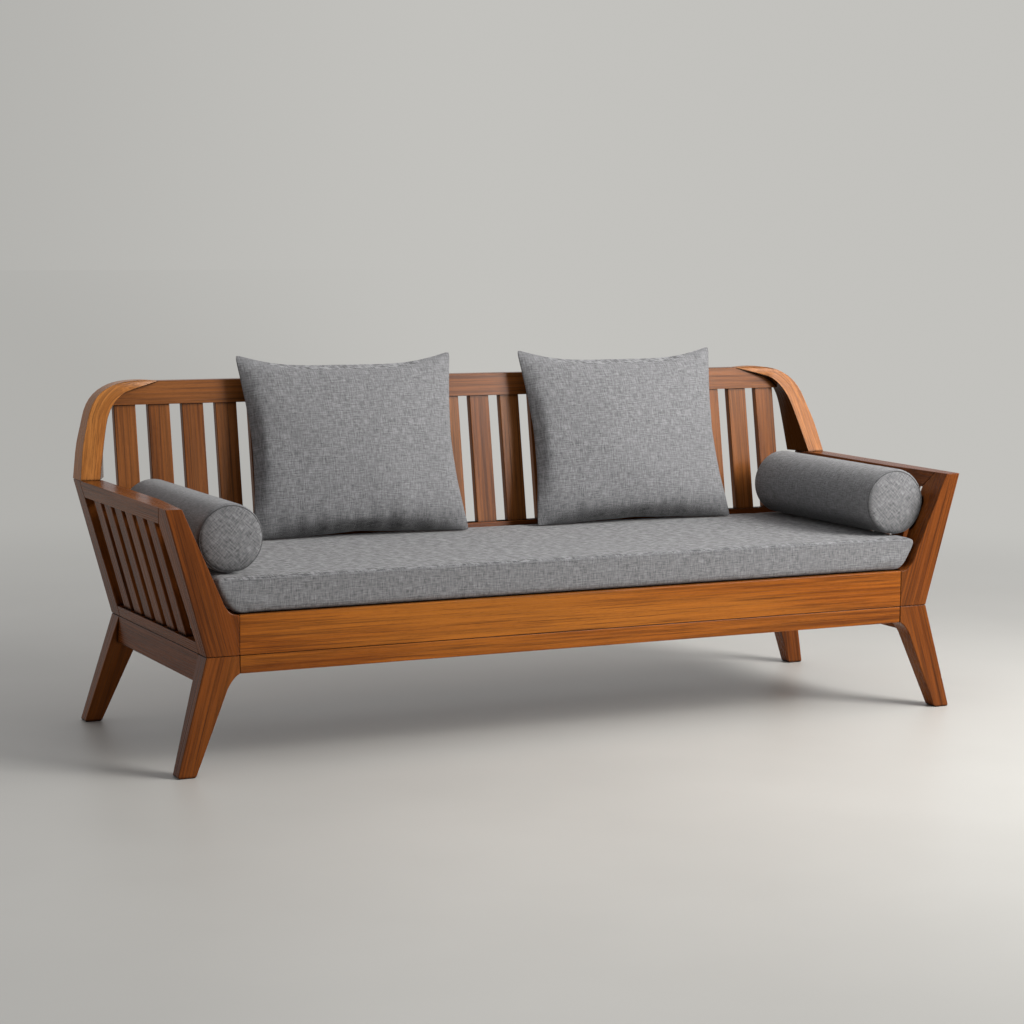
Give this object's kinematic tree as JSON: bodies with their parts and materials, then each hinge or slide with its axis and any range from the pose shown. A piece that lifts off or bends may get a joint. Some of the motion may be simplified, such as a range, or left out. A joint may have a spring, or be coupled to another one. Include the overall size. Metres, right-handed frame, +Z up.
{
  "type": "daybed",
  "caption": "Slatted hardwood daybed with splayed legs and arms, bent corner arches, slatted deck, boxed seat cushion, loose throw pillows and bolsters",
  "frame": {"origin": "on the floor, under the middle of the bounding box", "axes": "+X along the length, to the right when seen from the front; +Y from the front rail towards the back; +Z up"},
  "size_m": [2.194, 0.7878, 0.9156],
  "materials": {
    "frame_wood": "oiled reddish-brown hardwood, satin, softened edges",
    "rail_wood": "oiled golden-brown hardwood, satin, long straight grain",
    "linen": "heathered grey woven linen, matte, stitched seams"
  },
  "bodies": {
    "frame": {"front_leg_left": "frame_wood", "rear_leg_left": "frame_wood", "front_arm_post_left": "frame_wood", "rear_arm_post_left": "frame_wood", "arm_cap_left": "frame_wood", "arm_bottom_rail_left": "frame_wood", "side_apron_left": "frame_wood", "corner_arch_left": "frame_wood", "front_leg_right": "frame_wood", "rear_leg_right": "frame_wood", "front_arm_post_right": "frame_wood", "rear_arm_post_right": "frame_wood", "arm_cap_right": "frame_wood", "arm_bottom_rail_right": "frame_wood", "side_apron_right": "frame_wood", "corner_arch_right": "frame_wood", "arm_slat_left_1": "frame_wood", "arm_slat_left_2": "frame_wood", "arm_slat_left_3": "frame_wood", "arm_slat_left_4": "frame_wood", "arm_slat_left_5": "frame_wood", "arm_slat_left_6": "frame_wood", "arm_slat_right_1": "frame_wood", "arm_slat_right_2": "frame_wood", "arm_slat_right_3": "frame_wood", "arm_slat_right_4": "frame_wood", "arm_slat_right_5": "frame_wood", "arm_slat_right_6": "frame_wood", "front_rail_upper": "rail_wood", "front_rail_lower": "rail_wood", "rear_rail": "rail_wood", "back_top_rail": "rail_wood", "back_slat_01": "frame_wood", "back_slat_02": "frame_wood", "back_slat_03": "frame_wood", "back_slat_04": "frame_wood", "back_slat_05": "frame_wood", "back_slat_06": "frame_wood", "back_slat_07": "frame_wood", "back_slat_08": "frame_wood", "back_slat_09": "frame_wood", "back_slat_10": "frame_wood", "back_slat_11": "frame_wood", "back_slat_12": "frame_wood", "back_slat_13": "frame_wood", "back_slat_14": "frame_wood", "back_slat_15": "frame_wood", "back_slat_16": "frame_wood", "back_slat_17": "frame_wood", "back_slat_18": "frame_wood", "back_slat_19": "frame_wood", "back_slat_20": "frame_wood", "back_slat_21": "frame_wood", "back_slat_22": "frame_wood", "seat_deck": "frame_wood"},
    "seat_cushion": {"seat_cushion": "linen"},
    "throw_pillow_left": {"throw_pillow_left": "linen"},
    "throw_pillow_right": {"throw_pillow_right": "linen"},
    "bolster_left": {"bolster_left": "linen"},
    "bolster_right": {"bolster_right": "linen"}
  },
  "joints": [
    {"name": "seat_cushion_lift", "type": "slide", "parent": "frame", "child": "seat_cushion", "axis": [0, 0, 1], "range_m": [0, 0.25]},
    {"name": "throw_pillow_left_lift", "type": "slide", "parent": "seat_cushion", "child": "throw_pillow_left", "axis": [0, 0, 1], "range_m": [0, 0.25]},
    {"name": "throw_pillow_right_lift", "type": "slide", "parent": "seat_cushion", "child": "throw_pillow_right", "axis": [0, 0, 1], "range_m": [0, 0.25]},
    {"name": "bolster_left_lift", "type": "slide", "parent": "seat_cushion", "child": "bolster_left", "axis": [0, 0, 1], "range_m": [0, 0.25]},
    {"name": "bolster_right_lift", "type": "slide", "parent": "seat_cushion", "child": "bolster_right", "axis": [0, 0, 1], "range_m": [0, 0.25]}
  ]
}
